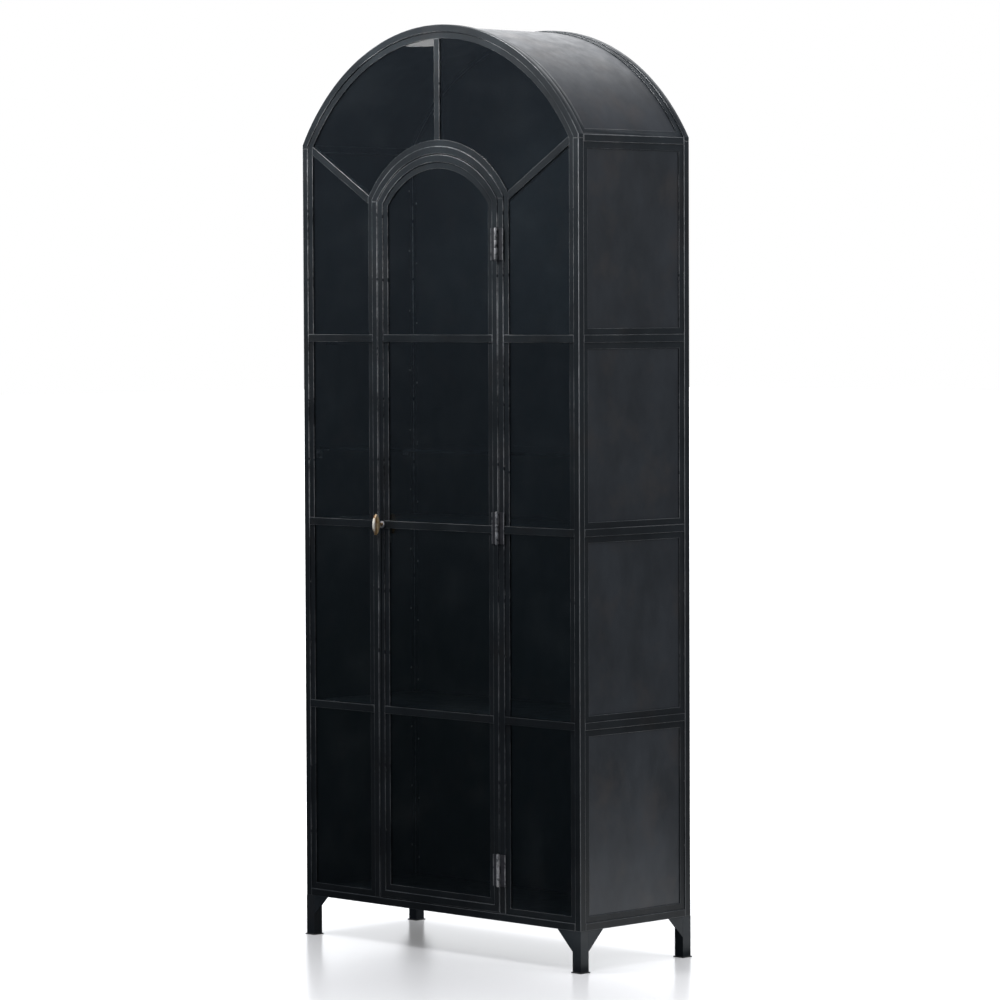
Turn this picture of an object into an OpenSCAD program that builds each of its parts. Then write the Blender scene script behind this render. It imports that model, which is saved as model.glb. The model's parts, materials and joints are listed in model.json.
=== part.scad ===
// Tower display case: an iron-framed cabinet with an arched top, a glazed front with one
// arched door, sheet-metal sides, back and roof, and four short legs.
// Origin: on the floor, in the middle of the whole object's footprint, knob included. +Z is
// up, the door faces -Y, and +X is the side that the door's hinges are on.

/* [Case] */
// Overall width of the case
case_w = 1060; // [1000:10:1120]
// Overall depth of the case
case_d = 422; // [400:2:480]
// Height of the eaves, where the arch springs from the posts
eave_z = 2186; // [2150:2:2240]
// Rise of the arched top above the eaves
arch_rise = 306; // [280:2:330]
// Height of the case's underside above the floor
leg_h = 110; // [90:1:140]

/* [Steel sections] */
// Side of the square tube that the case and the door are made of
tube = 20; // [19:0.5:22]
// Wall thickness of the square tubes
tube_wall = 1.5; // [1.2:0.1:2]
// Width of the flat strips that line each opening
strip_w = 17; // [15:0.5:18]
// Thickness of the lining strips
strip_t = 3; // [2.5:0.25:4]
// How far the lining strips sit back from the tubes' faces
strip_set = 3; // [2:0.25:4]
// Thickness of the sheet steel
sheet_t = 1.5; // [1:0.1:2]
// Height of the front cross bars
bar_h = 20; // [18:1:24]
// Thickness of the web behind a cross bar
web_t = 5; // [4:0.5:6]

/* [Glass] */
// Thickness of the panes
glass_t = 4; // [3:0.5:5]
// Clearance between a pane's edge and the steel
glass_gap = 1; // [0.5:0.25:1.5]
// Width of the beads that hold the panes from behind
bead_w = 8; // [6:0.5:10]

/* [Doorway] */
// Width of the doorway between the mullions
doorway_w = 465; // [440:5:480]
// Height of the doorway's crown above the floor
doorway_z = 2148.5; // [2120:0.5:2150]
// Radius of the doorway's arch
doorway_r = 280.5; // [275:0.5:300]
// Clearance around the door
door_gap = 2.5; // [2:0.5:4]

/* [Levels] */
// Height of the lowest bar's centre line
bar_z0 = 645; // [620:5:670]
// Distance from one bar to the next
bar_pitch = 505; // [480:5:510]

/* [Legs] */
// Side of the leg tube
leg_w = 30; // [28:1:34]
// Length of a gusset along the leg and along the rail
gusset = 55; // [40:1:65]
// Thickness of the gusset plate
gusset_t = 3; // [2:0.5:4]
// Side of the square foot plate
foot_w = 36; // [32:1:40]
// Thickness of the foot plate
foot_t = 3; // [2:0.5:4]

/* [Shelves] */
// Height of a shelf's top above its bar's centre line
shelf_rise = 7; // [5:0.5:9]
// Depth of the shelf's folded front and rear lips
shelf_lip = 20; // [15:1:25]
// Leg of the angle cleats under the shelves
cleat = 25; // [20:1:30]
// Length of a cleat
cleat_len = 40; // [30:5:60]
// Height of the glass shelf's top above the floor
glass_shelf_z = 1355; // [1300:5:1420]
// Thickness of the glass shelf
glass_shelf_t = 8; // [6:0.5:10]

/* [Hinges] */
// Height of a hinge leaf
leaf_h = 84; // [70:2:90]
// Width of one leaf, from the pin's axis to its edge
leaf_w = 22.5; // [18:0.5:24]
// Thickness of the leaves
leaf_t = 2.5; // [2:0.25:3]
// Radius of the knuckles
knuckle_r = 4.5; // [4:0.25:5]
// Radius of the hinge pin
pin_r = 2.5; // [2:0.25:3]
// Height of the door leaf's barrel, between the frame leaf's two
mid_barrel = 20; // [16:1:28]

/* [Knob] */
// Height of the oval grip
grip_h = 57; // [45:1:65]
// Depth of the oval grip, front to back
grip_d = 23; // [20:1:28]
// Thickness of the grip
grip_t = 9; // [6:0.5:10]
// Length of the neck between the rose and the grip
neck_len = 10; // [7:0.5:14]
// Radius of the rose
rose_r = 10; // [8:0.5:12]
// Radius of the spindle
spindle_r = 3; // [2.5:0.5:3]
// Height of the knob above the floor
knob_z = 1150; // [1100:5:1200]

/* [Hidden] */
$fn = 96;
hoop_fn = 240;

half_w = case_w / 2;
half_d = case_d / 2;
foot_over = (foot_w - leg_w) / 2;
rose_t = 3;
knob_reach = rose_t + neck_len + grip_d;
// The knob reaches further forward than the feet do backward, so the case stands off centre.
mid_y = (knob_reach - foot_over) / 2;
front = mid_y - half_d;
rear = mid_y + half_d;

// The case's arch is a circular segment through both eaves and the crown.
arch_r = (arch_rise * arch_rise + half_w * half_w) / (2 * arch_rise);
arch_cz = eave_z + arch_rise - arch_r;
// The arched members start a little below the eaves, on short straight tangs.
tang = 10;
arch_cut = eave_z - tang;

// The doorway's arch is a segment too, and the door's arch is concentric with it.
door_cz = doorway_z - doorway_r;
half_door = doorway_w / 2;
spring_z = door_cz + sqrt(doorway_r * doorway_r - half_door * half_door);

// How far a cut runs past the face that it opens.
past = 1;

sill_gap = 2;
rail_top = leg_h + tube;
door_bottom = rail_top + sill_gap;
frame_in = tube + strip_w;

// Depths behind the front face: strips, glass, and the backs of tubes and webs.
strip_y0 = front + strip_set;
strip_y1 = strip_y0 + strip_t;
glass_y1 = strip_y1 + glass_t;
tube_back = front + tube;
web_depth = 12;
bead_depth = 8;
bead_y1 = glass_y1 + bead_depth;

bar_levels = [bar_z0, bar_z0 + bar_pitch, bar_z0 + 2 * bar_pitch];
side_bar_h = 20;
side_bar_t = strip_set + strip_t;

// Diagonal bars, from just above the doorway's springing to just below the case's shoulders.
diag_foot = 7;
diag_head = 16;
diag_x0 = half_door + frame_in;
diag_z0 = spring_z + diag_foot;
diag_x1 = half_w - frame_in;
diag_z1 = eave_z - diag_head;
diag_angle = atan2(diag_z1 - diag_z0, diag_x1 - diag_x0);
diag_w = 20;

// Hinges: the pin's axis stands in front of the gap between the door and its frame.
leaf_back = 6;
hinge_x = half_door - door_gap / 2;
hinge_y = front - leaf_back;
hinge_levels = [245, 1154, 1904];
barrel_gap = 0.4;
leaf_relief = knuckle_r + 0.7;
running = 0.06;
pin_head_r = 3.6;
pin_head_t = 2;

// The knob's spindle passes through the stile, clear of its walls.
knob_in = 15;
knob_x = -half_door + door_gap + knob_in;
neck_r = 4;
// How far the neck runs into the grip, and how far the rose stays off the door's face.
neck_root = 4;
rose_gap = 0.3;

// The latch's tongue turns behind the door stop, held on the spindle by a nut.
stop_t = 3;
tongue_t = 3;
tongue_w = 12;
tongue_len = 50;
tongue_gap = 1.5;
tongue_y0 = tube_back + stop_t + tongue_gap;
nut_t = 4;
nut_r = 5.5;

sheet_in = side_bar_t + sheet_t;
shelf_front = front + 35;
shelf_gap = 1;
notch_gap = 1.5;
cleat_t = 3;
// Distance of a cleat's middle from the case's middle.
cleat_y = 110;
glass_shelf_half = 505;
glass_shelf_rear = rear - 26;
clip_len = 20;
clip_t = 2.5;
// How far a clip stands in from the glass shelf's corner, and how far it reaches under it.
clip_in = 6;
clip_lap = 13;

steel = [0.17, 0.17, 0.18];
dark_sheet = [0.14, 0.14, 0.16];
bright_steel = [0.62, 0.62, 0.62];
brass = [0.80, 0.62, 0.33];
glass = [0.10, 0.12, 0.13, 0.35];
foot_black = [0.08, 0.08, 0.08];

// ---------------------------------------------------------------- shared shapes

// A 2D shape drawn in X and Z, made into a plate from y0 to y1.
module plate_xz(y0, y1) {
    translate([0, y1, 0])
        rotate([90, 0, 0])
            linear_extrude(y1 - y0)
                children();
}

// A 2D shape drawn in Y and Z, made into a plate from x0 to x1.
module plate_yz(x0, x1) {
    translate([x0, 0, 0])
        rotate([90, 0, 90])
            linear_extrude(x1 - x0)
                children();
}

// A box between two opposite corners.
module box(lo, hi) {
    translate(lo)
        cube(hi - lo);
}

// A hollow square tube along Z, Y or X. Each takes its outer corner nearest the origin's
// negative side, its side and its two ends.
module tube_z(x, y, side, z0, z1) {
    difference() {
        box([x, y, z0], [x + side, y + side, z1]);
        box([x + tube_wall, y + tube_wall, z0 - past],
            [x + side - tube_wall, y + side - tube_wall, z1 + past]);
    }
}

module tube_y(x, z, side, y0, y1) {
    difference() {
        box([x, y0, z], [x + side, y1, z + side]);
        box([x + tube_wall, y0 - past, z + tube_wall],
            [x + side - tube_wall, y1 + past, z + side - tube_wall]);
    }
}

module tube_x(y, z, side, x0, x1) {
    difference() {
        box([x0, y, z], [x1, y + side, z + side]);
        box([x0 - past, y + tube_wall, z + tube_wall],
            [x1 + past, y + side - tube_wall, z + side - tube_wall]);
    }
}

// An arched outline in X and Z: straight sides up to a circular head.
module arched(half, bottom, radius, centre_z) {
    intersection() {
        translate([-half, bottom])
            square([2 * half, centre_z + radius + past - bottom]);
        union() {
            translate([0, centre_z])
                circle(radius, $fn = hoop_fn);
            translate([-half - past, bottom - past])
                square([2 * (half + past), centre_z - bottom + past]);
        }
    }
}

// The case's front outline, and the doorway's, moved in or out by an inset.
module case_outline(inset) {
    arched(half_w - inset, leg_h + inset, arch_r - inset, arch_cz);
}

module doorway_outline(grow) {
    arched(half_door + grow, rail_top, doorway_r + grow, door_cz);
}

// The door's outline, inside the doorway by the door's clearance.
module door_outline(inset) {
    arched(half_door - door_gap - inset, door_bottom + inset, doorway_r - door_gap - inset, door_cz);
}

// Everything above a level, as a 2D shape to cut outlines with.
module above(level) {
    translate([-case_w, level])
        square([2 * case_w, 2 * eave_z]);
}

// A hollow square hoop that follows the case's arch, from y0 back.
module hollow_hoop(y0) {
    difference() {
        plate_xz(y0, y0 + tube)
            intersection() {
                difference() {
                    case_outline(0);
                    case_outline(tube);
                }
                above(arch_cut);
            }
        plate_xz(y0 + tube_wall, y0 + tube - tube_wall)
            intersection() {
                difference() {
                    case_outline(tube_wall);
                    case_outline(tube - tube_wall);
                }
                above(arch_cut - past);
            }
    }
}

// The half-plane on one side of the right-hand diagonal's centre line, moved off it.
module over_diagonal(offset_z) {
    translate([diag_x0, diag_z0])
        rotate(diag_angle)
            translate([-case_w, offset_z])
                square([3 * case_w, 2 * case_w]);
}

// A band along the right-hand diagonal.
module diagonal_band(width) {
    difference() {
        over_diagonal(-width / 2);
        over_diagonal(width / 2);
    }
}

// ---------------------------------------------------------------- frame of the case

module post(sx, y) {
    color(steel)
        tube_z(sx > 0 ? half_w - tube : -half_w, y, tube, leg_h, arch_cut);
}

module post_front_left() { post(-1, front); }
module post_front_right() { post(1, front); }
module post_rear_left() { post(-1, rear - tube); }
module post_rear_right() { post(1, rear - tube); }

module front_arch() {
    color(steel)
        hollow_hoop(front);
}

module rear_arch() {
    color(steel)
        hollow_hoop(rear - tube);
}

module eave_rail(sx) {
    color(steel)
        tube_y(sx > 0 ? half_w - tube : -half_w, eave_z - tube, tube, front + tube, rear - tube);
}

module eave_rail_left() { eave_rail(-1); }
module eave_rail_right() { eave_rail(1); }

module bottom_rail_front() {
    color(steel)
        tube_x(front, leg_h, tube, -half_w + tube, half_w - tube);
}

module bottom_rail_rear() {
    color(steel)
        tube_x(rear - tube, leg_h, tube, -half_w + tube, half_w - tube);
}

module bottom_rail_side(sx) {
    color(steel)
        tube_y(sx > 0 ? half_w - tube : -half_w, leg_h, tube, front + tube, rear - tube);
}

module bottom_rail_left() { bottom_rail_side(-1); }
module bottom_rail_right() { bottom_rail_side(1); }

module mullion(sx) {
    color(steel)
        tube_z(sx > 0 ? half_door : -half_door - tube, front, tube, rail_top, spring_z);
}

module mullion_left() { mullion(-1); }
module mullion_right() { mullion(1); }

module doorway_arch() {
    color(steel)
        difference() {
            plate_xz(front, front + tube)
                intersection() {
                    difference() {
                        doorway_outline(tube);
                        doorway_outline(0);
                    }
                    above(spring_z);
                }
            plate_xz(front + tube_wall, front + tube - tube_wall)
                intersection() {
                    difference() {
                        doorway_outline(tube - tube_wall);
                        doorway_outline(tube_wall);
                    }
                    above(spring_z - past);
                }
        }
}

// Cross bars are tees: a face that shows between the strips, and a web between the panes.
module crown_bar() {
    color(steel) {
        plate_xz(strip_y0, strip_y1)
            difference() {
                intersection() {
                    translate([-bar_h / 2, doorway_z])
                        square([bar_h, arch_rise]);
                    case_outline(frame_in);
                }
                doorway_outline(frame_in);
            }
        plate_xz(strip_y1, strip_y1 + web_depth)
            difference() {
                intersection() {
                    translate([-web_t / 2, doorway_z])
                        square([web_t, arch_rise]);
                    case_outline(tube);
                }
                doorway_outline(tube);
            }
    }
}

module diagonal_bar_right() {
    color(steel) {
        plate_xz(strip_y0, strip_y1)
            difference() {
                intersection() {
                    diagonal_band(diag_w);
                    case_outline(frame_in);
                    translate([half_door, 0])
                        square([half_w, 2 * eave_z]);
                }
                doorway_outline(frame_in);
            }
        plate_xz(strip_y1, strip_y1 + web_depth)
            difference() {
                intersection() {
                    diagonal_band(web_t);
                    case_outline(tube);
                    translate([half_door, 0])
                        square([half_w, 2 * eave_z]);
                }
                doorway_outline(tube);
            }
    }
}

module diagonal_bar_left() {
    mirror([1, 0, 0])
        diagonal_bar_right();
}

// A cross bar runs from tube to tube, flush with their faces, and interrupts the strips.
module tee_bar(x0, x1, z) {
    box([x0, front, z - bar_h / 2], [x1, strip_y1, z + bar_h / 2]);
    box([x0, strip_y1, z - web_t / 2], [x1, strip_y1 + web_depth, z + web_t / 2]);
}

module cross_bars_right() {
    color(steel)
        for (z = bar_levels)
            union()
                tee_bar(half_door + tube, half_w - tube, z);
}

module cross_bars_left() {
    mirror([1, 0, 0])
        cross_bars_right();
}

module side_bars_right() {
    color(steel)
        for (z = bar_levels)
            box([half_w - side_bar_t, front + tube, z - side_bar_h / 2],
                [half_w, rear - tube, z + side_bar_h / 2]);
}

module side_bars_left() {
    mirror([1, 0, 0])
        side_bars_right();
}

module rear_bars() {
    color(steel)
        for (z = bar_levels)
            box([-half_w + tube, rear - side_bar_t, z - side_bar_h / 2],
                [half_w - tube, rear, z + side_bar_h / 2]);
}

// ---------------------------------------------------------------- legs

module leg(sx, sy) {
    color(steel)
        tube_z(sx > 0 ? half_w - leg_w : -half_w, sy > 0 ? rear - leg_w : front, leg_w, foot_t, leg_h);
}

module leg_front_left() { leg(-1, -1); }
module leg_front_right() { leg(1, -1); }
module leg_rear_left() { leg(-1, 1); }
module leg_rear_right() { leg(1, 1); }

module gusset_outline(edge) {
    polygon([[edge, leg_h], [edge - gusset, leg_h], [edge, leg_h - gusset]]);
}

// Repeats a corner's pieces at all four corners of the case.
module four_corners() {
    translate([0, mid_y, 0])
        for (mx = [0, 1], my = [0, 1])
            mirror([mx, 0, 0])
                mirror([0, my, 0])
                    children();
}

module leg_gussets() {
    color(steel)
        four_corners() {
            plate_xz(-half_d, -half_d + gusset_t)
                gusset_outline(half_w - leg_w);
            plate_yz(half_w - gusset_t, half_w)
                mirror([1, 0])
                    gusset_outline(half_d - leg_w);
        }
}

module foot_plates() {
    color(foot_black)
        four_corners()
            box([half_w - leg_w - foot_over, -half_d - foot_over, 0],
                [half_w + foot_over, -half_d + leg_w + foot_over, foot_t]);
}

// ---------------------------------------------------------------- lining strips

// The levels that the cross bars take up, as a 2D shape to cut strips with.
module bar_bands() {
    for (z = bar_levels)
        translate([-case_w, z - bar_h / 2])
            square([2 * case_w, bar_h]);
}

// Lines the case's front opening and goes around the doorway.
module front_strips() {
    color(steel)
        plate_xz(strip_y0, strip_y1)
            difference() {
                case_outline(tube);
                difference() {
                    case_outline(frame_in);
                    doorway_outline(frame_in);
                }
                doorway_outline(tube);
                translate([-half_door - tube, rail_top - past])
                    square([doorway_w + 2 * tube, tube]);
                bar_bands();
            }
}

// The lower and upper edge of each side panel's opening, from the floor up.
panel_lows = [rail_top, for (z = bar_levels) z + side_bar_h / 2];
panel_highs = [for (z = bar_levels) z - side_bar_h / 2, eave_z - tube];

module side_strips() {
    depth = case_d - 2 * tube;
    color(steel)
        for (mx = [0, 1], i = [0 : len(panel_lows) - 1])
            mirror([mx, 0, 0])
                plate_yz(half_w - side_bar_t, half_w - strip_set)
                    translate([mid_y - depth / 2, panel_lows[i]])
                        difference() {
                            square([depth, panel_highs[i] - panel_lows[i]]);
                            translate([strip_w, strip_w])
                                square([depth - 2 * strip_w, panel_highs[i] - panel_lows[i] - 2 * strip_w]);
                        }
}

// Lines each of the back's openings, above and below the rear bars.
module back_strips() {
    color(steel)
        plate_xz(rear - side_bar_t, rear - strip_set)
            difference() {
                case_outline(tube);
                difference() {
                    case_outline(frame_in);
                    for (z = bar_levels)
                        translate([-case_w, z - side_bar_h / 2 - strip_w])
                            square([2 * case_w, side_bar_h + 2 * strip_w]);
                }
                for (z = bar_levels)
                    translate([-case_w, z - side_bar_h / 2])
                        square([2 * case_w, side_bar_h]);
            }
}

// ---------------------------------------------------------------- sheets

// The roof sheet lies under the roof strips.
roof_r = arch_r - side_bar_t;

// A ring of the roof's circle, from y0 to y1, above a level.
module roof_ring(r0, r1, y0, y1, level) {
    plate_xz(y0, y1)
        intersection() {
            translate([0, arch_cz])
                difference() {
                    circle(r1, $fn = hoop_fn);
                    circle(r0, $fn = hoop_fn);
                }
            above(level);
        }
}

module roof_sheet() {
    color(dark_sheet)
        roof_ring(roof_r - sheet_t, roof_r, front + tube, rear - tube, eave_z);
}

module roof_strips() {
    strip_r1 = arch_r - strip_set;
    y0 = front + tube;
    y1 = rear - tube;
    // The strip along an eave lies on the roof's slope, so it rises by less than its width.
    eave_strip_top = eave_z + strip_w * half_w / arch_r;
    color(steel) {
        roof_ring(roof_r, strip_r1, y0, y0 + strip_w, eave_z);
        roof_ring(roof_r, strip_r1, y1 - strip_w, y1, eave_z);
        difference() {
            roof_ring(roof_r, strip_r1, y0 + strip_w, y1 - strip_w, eave_z);
            box([-case_w, -case_d, eave_strip_top], [case_w, case_d, 2 * eave_z]);
        }
    }
}

module side_sheet_right() {
    color(dark_sheet)
        box([half_w - side_bar_t - sheet_t, front + tube, rail_top],
            [half_w - side_bar_t, rear - tube, eave_z - tube]);
}

module side_sheet_left() {
    mirror([1, 0, 0])
        side_sheet_right();
}

module back_sheet() {
    color(dark_sheet)
        plate_xz(rear - side_bar_t - sheet_t, rear - side_bar_t)
            case_outline(tube);
}

module floor_sheet() {
    color(dark_sheet)
        box([-half_w + tube, front + tube, rail_top - sheet_t], [half_w - tube, rear - tube, rail_top]);
}

// ---------------------------------------------------------------- shelves

// A shelf is a sheet with folded front and rear lips, notched around the rear posts.
module shelf(level) {
    top = level + shelf_rise;
    end_x = half_w - sheet_in - shelf_gap;
    notch_x = half_w - tube - notch_gap;
    notch_y = rear - tube - notch_gap;
    back_y = rear - sheet_in - shelf_gap;
    color(dark_sheet)
        union() {
            translate([0, 0, top - sheet_t])
                linear_extrude(sheet_t)
                    polygon([
                        [-end_x, shelf_front], [end_x, shelf_front], [end_x, notch_y],
                        [notch_x, notch_y], [notch_x, back_y], [-notch_x, back_y],
                        [-notch_x, notch_y], [-end_x, notch_y],
                    ]);
            box([-end_x, shelf_front, top - shelf_lip], [end_x, shelf_front + sheet_t, top]);
            box([-notch_x, back_y - sheet_t, top - shelf_lip], [notch_x, back_y, top]);
        }
}

module shelf_lower() { shelf(bar_levels[0]); }
module shelf_middle() { shelf(bar_levels[1]); }
module shelf_upper() { shelf(bar_levels[2]); }

module shelf_cleats() {
    outer_x = half_w - sheet_in;
    color(steel)
        for (level = bar_levels, mx = [0, 1], y = [mid_y - cleat_y, mid_y + cleat_y])
            mirror([mx, 0, 0])
                translate([outer_x, y - cleat_len / 2, level + shelf_rise - sheet_t])
                    rotate([-90, 0, 0])
                        linear_extrude(cleat_len)
                            polygon([
                                [0, 0], [-cleat, 0], [-cleat, cleat_t], [-cleat_t, cleat_t],
                                [-cleat_t, cleat], [0, cleat],
                            ]);
}

module glass_shelf() {
    color(glass)
        box([-glass_shelf_half, shelf_front, glass_shelf_z - glass_shelf_t],
            [glass_shelf_half, glass_shelf_rear, glass_shelf_z]);
}

// Four small angles carry the glass shelf at its corners.
module glass_shelf_clips() {
    wall_x = half_w - sheet_in;
    reach = wall_x - glass_shelf_half + clip_lap;
    color(bright_steel)
        for (mx = [0, 1], y = [shelf_front + clip_in, glass_shelf_rear - clip_in - clip_len])
            mirror([mx, 0, 0])
                translate([wall_x, y, glass_shelf_z - glass_shelf_t])
                    rotate([-90, 0, 0])
                        linear_extrude(clip_len)
                            polygon([
                                [0, 0], [-reach, 0], [-reach, clip_t], [-clip_t, clip_t],
                                [-clip_t, cleat], [0, cleat],
                            ]);
}

// ---------------------------------------------------------------- glass of the case

pane_web = web_t / 2 + glass_gap;
pane_lows = [rail_top + glass_gap, for (z = bar_levels) z + pane_web];
pane_highs = [for (z = bar_levels) z - pane_web, arch_cut];

// The outline of one pane of a side column, moved in by an inset.
module column_pane(i, inset) {
    x0 = half_door + tube + glass_gap + inset;
    x1 = half_w - tube - glass_gap - inset;
    difference() {
        translate([x0, pane_lows[i] + inset])
            square([x1 - x0, pane_highs[i] - pane_lows[i] - 2 * inset]);
        over_diagonal(-pane_web - inset);
    }
}

// The outline of one half of the arch's glass, moved in by an inset.
module arch_pane(inset) {
    difference() {
        intersection() {
            case_outline(tube + glass_gap + inset);
            over_diagonal(pane_web + inset);
            translate([pane_web + inset, spring_z - tube])
                square([half_w, case_w]);
        }
        doorway_outline(tube + glass_gap + inset);
    }
}

// The outline of one of the door's panes, moved in by an inset.
door_lows = [door_bottom + tube + glass_gap, for (z = bar_levels) z + pane_web];
door_highs = [for (z = bar_levels) z - pane_web, eave_z];
module door_pane(i, inset) {
    intersection() {
        door_outline(tube + glass_gap + inset);
        translate([-half_w, door_lows[i] + inset])
            square([case_w, door_highs[i] - door_lows[i] - 2 * inset]);
    }
}

module panes_right() {
    color(glass)
        for (i = [0 : len(pane_lows) - 1])
            plate_xz(strip_y1, glass_y1)
                column_pane(i, 0);
}

module panes_left() {
    mirror([1, 0, 0])
        panes_right();
}

module arch_pane_right() {
    color(glass)
        plate_xz(strip_y1, glass_y1)
            arch_pane(0);
}

module arch_pane_left() {
    mirror([1, 0, 0])
        arch_pane_right();
}

module case_beads() {
    color(steel)
        for (mx = [0, 1])
            mirror([mx, 0, 0]) {
                plate_xz(glass_y1, bead_y1)
                    difference() {
                        arch_pane(0);
                        arch_pane(bead_w);
                    }
                for (i = [0 : len(pane_lows) - 1])
                    plate_xz(glass_y1, bead_y1)
                        difference() {
                            column_pane(i, 0);
                            column_pane(i, bead_w);
                        }
            }
}

// ---------------------------------------------------------------- door

// The stop is fixed to the left mullion's back and laps the door's free edge, stepped to
// leave the door a little room.
module door_stop() {
    lap_out = 12;
    lap_in = 8;
    room = 0.4;
    step_x = -half_door - 0.5;
    low = rail_top + 60;
    high = spring_z - 30;
    back = tube_back + stop_t;
    color(steel)
        union() {
            box([-half_door - lap_out, tube_back, low], [step_x, back, high]);
            box([step_x - 0.5, tube_back + room, low], [-half_door + lap_in, back, high]);
        }
}

module door_frame() {
    color(steel)
        difference() {
            plate_xz(front, front + tube)
                difference() {
                    door_outline(0);
                    door_outline(tube);
                }
            plate_xz(front + tube_wall, front + tube - tube_wall)
                difference() {
                    door_outline(tube_wall);
                    door_outline(tube - tube_wall);
                }
            translate([knob_x, front + tube + past, knob_z])
                rotate([90, 0, 0])
                    cylinder(r = spindle_r + running, h = tube + 2 * past);
        }
}

module door_strips() {
    color(steel)
        plate_xz(strip_y0, strip_y1)
            difference() {
                door_outline(tube);
                door_outline(frame_in);
                bar_bands();
            }
}

module door_bars() {
    inner = half_door - door_gap - tube;
    color(steel)
        for (z = bar_levels)
            union()
                tee_bar(-inner, inner, z);
}

module door_panes() {
    color(glass)
        for (i = [0 : len(door_lows) - 1])
            plate_xz(strip_y1, glass_y1)
                door_pane(i, 0);
}

module door_beads() {
    color(steel)
        for (i = [0 : len(door_lows) - 1])
            plate_xz(glass_y1, bead_y1)
                difference() {
                    door_pane(i, 0);
                    door_pane(i, bead_w);
                }
}

// ---------------------------------------------------------------- hinges

// A hinge's barrels, as [bottom, top] from the leaf's middle. The outer two belong to the
// frame's leaf and the middle one to the door's.
barrels = [
    [-leaf_h / 2, -mid_barrel / 2 - barrel_gap],
    [-mid_barrel / 2, mid_barrel / 2],
    [mid_barrel / 2 + barrel_gap, leaf_h / 2],
];

// One leaf of a hinge, on the +X side of its pin, with its own barrels and clear of the rest.
module hinge_leaf(own, others) {
    difference() {
        union() {
            box([0, leaf_back - leaf_t, -leaf_h / 2], [leaf_w, leaf_back, leaf_h / 2]);
            for (k = own)
                translate([0, 0, barrels[k][0]])
                    cylinder(r = knuckle_r, h = barrels[k][1] - barrels[k][0]);
        }
        for (k = others)
            box([-leaf_relief, -leaf_relief, barrels[k][0] - barrel_gap],
                [leaf_relief, leaf_back + past, barrels[k][1] + barrel_gap]);
        translate([0, 0, -leaf_h / 2 - past])
            cylinder(r = pin_r + running, h = leaf_h + 2 * past);
    }
}

module hinge_frame_leaves() {
    color(bright_steel)
        for (z = hinge_levels)
            translate([hinge_x, hinge_y, z])
                hinge_leaf([0, 2], [1]);
}

module hinge_door_leaves() {
    color(bright_steel)
        for (z = hinge_levels)
            translate([hinge_x, hinge_y, z])
                mirror([1, 0, 0])
                    hinge_leaf([1], [0, 2]);
}

module hinge_pins() {
    into_head = pin_head_t / 2;
    color(bright_steel)
        for (z = hinge_levels)
            translate([hinge_x, hinge_y, z - leaf_h / 2])
                union() {
                    translate([0, 0, -pin_head_t])
                        cylinder(r = pin_head_r, h = pin_head_t);
                    translate([0, 0, -into_head])
                        cylinder(r = pin_r, h = leaf_h + 2 * into_head);
                    translate([0, 0, leaf_h])
                        cylinder(r = pin_head_r, h = pin_head_t);
                }
}

// ---------------------------------------------------------------- knob and latch

// The oval grip stands edge-on to the door, on a round neck and a spindle.
module turn_knob() {
    bulge_r = (grip_h * grip_h + grip_d * grip_d) / (4 * grip_d);
    grip_y = front - rose_t - neck_len - grip_d / 2;
    spindle_end = tongue_y0 + tongue_t + nut_t;
    color(brass)
        union() {
            plate_yz(knob_x - grip_t / 2, knob_x + grip_t / 2)
                intersection() {
                    translate([grip_y - grip_d / 2 + bulge_r, knob_z])
                        circle(bulge_r);
                    translate([grip_y + grip_d / 2 - bulge_r, knob_z])
                        circle(bulge_r);
                }
            translate([knob_x, front - rose_gap, knob_z])
                rotate([90, 0, 0])
                    cylinder(r = neck_r, h = rose_t + neck_len + neck_root);
            translate([knob_x, front - rose_gap, knob_z])
                rotate([90, 0, 0])
                    cylinder(r = rose_r, h = rose_t - rose_gap);
            translate([knob_x, spindle_end, knob_z])
                rotate([90, 0, 0])
                    cylinder(r = spindle_r, h = spindle_end - front + past);
        }
}

module latch_tongue() {
    color(bright_steel)
        difference() {
            union() {
                plate_xz(tongue_y0, tongue_y0 + tongue_t)
                    translate([knob_x, knob_z])
                        union() {
                            circle(tongue_w / 2);
                            translate([-tongue_w / 2, -tongue_len])
                                square([tongue_w, tongue_len]);
                        }
                translate([knob_x, tongue_y0 + tongue_t + nut_t, knob_z])
                    rotate([90, 0, 0])
                        cylinder(r = nut_r, h = nut_t, $fn = 6);
            }
            translate([knob_x, tongue_y0 + tongue_t + nut_t + past, knob_z])
                rotate([90, 0, 0])
                    cylinder(r = spindle_r, h = tongue_t + nut_t + 2 * past);
        }
}

// ---------------------------------------------------------------- assembly

post_front_left();
post_front_right();
post_rear_left();
post_rear_right();
front_arch();
rear_arch();
eave_rail_left();
eave_rail_right();
bottom_rail_front();
bottom_rail_rear();
bottom_rail_left();
bottom_rail_right();
mullion_left();
mullion_right();
doorway_arch();
crown_bar();
diagonal_bar_left();
diagonal_bar_right();
cross_bars_left();
cross_bars_right();
side_bars_left();
side_bars_right();
rear_bars();
leg_front_left();
leg_front_right();
leg_rear_left();
leg_rear_right();
leg_gussets();
foot_plates();
front_strips();
side_strips();
back_strips();
roof_strips();
roof_sheet();
side_sheet_left();
side_sheet_right();
back_sheet();
floor_sheet();
shelf_lower();
shelf_middle();
shelf_upper();
shelf_cleats();
glass_shelf();
glass_shelf_clips();
arch_pane_left();
arch_pane_right();
panes_left();
panes_right();
case_beads();
door_stop();
hinge_frame_leaves();
hinge_pins();
door_frame();
door_bars();
door_strips();
door_panes();
door_beads();
hinge_door_leaves();
turn_knob();
latch_tongue();
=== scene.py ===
"""Looks of the tower display case: waxed black steel with worn edges, dark glass and a brass knob."""

import json
import math
import random

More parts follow.
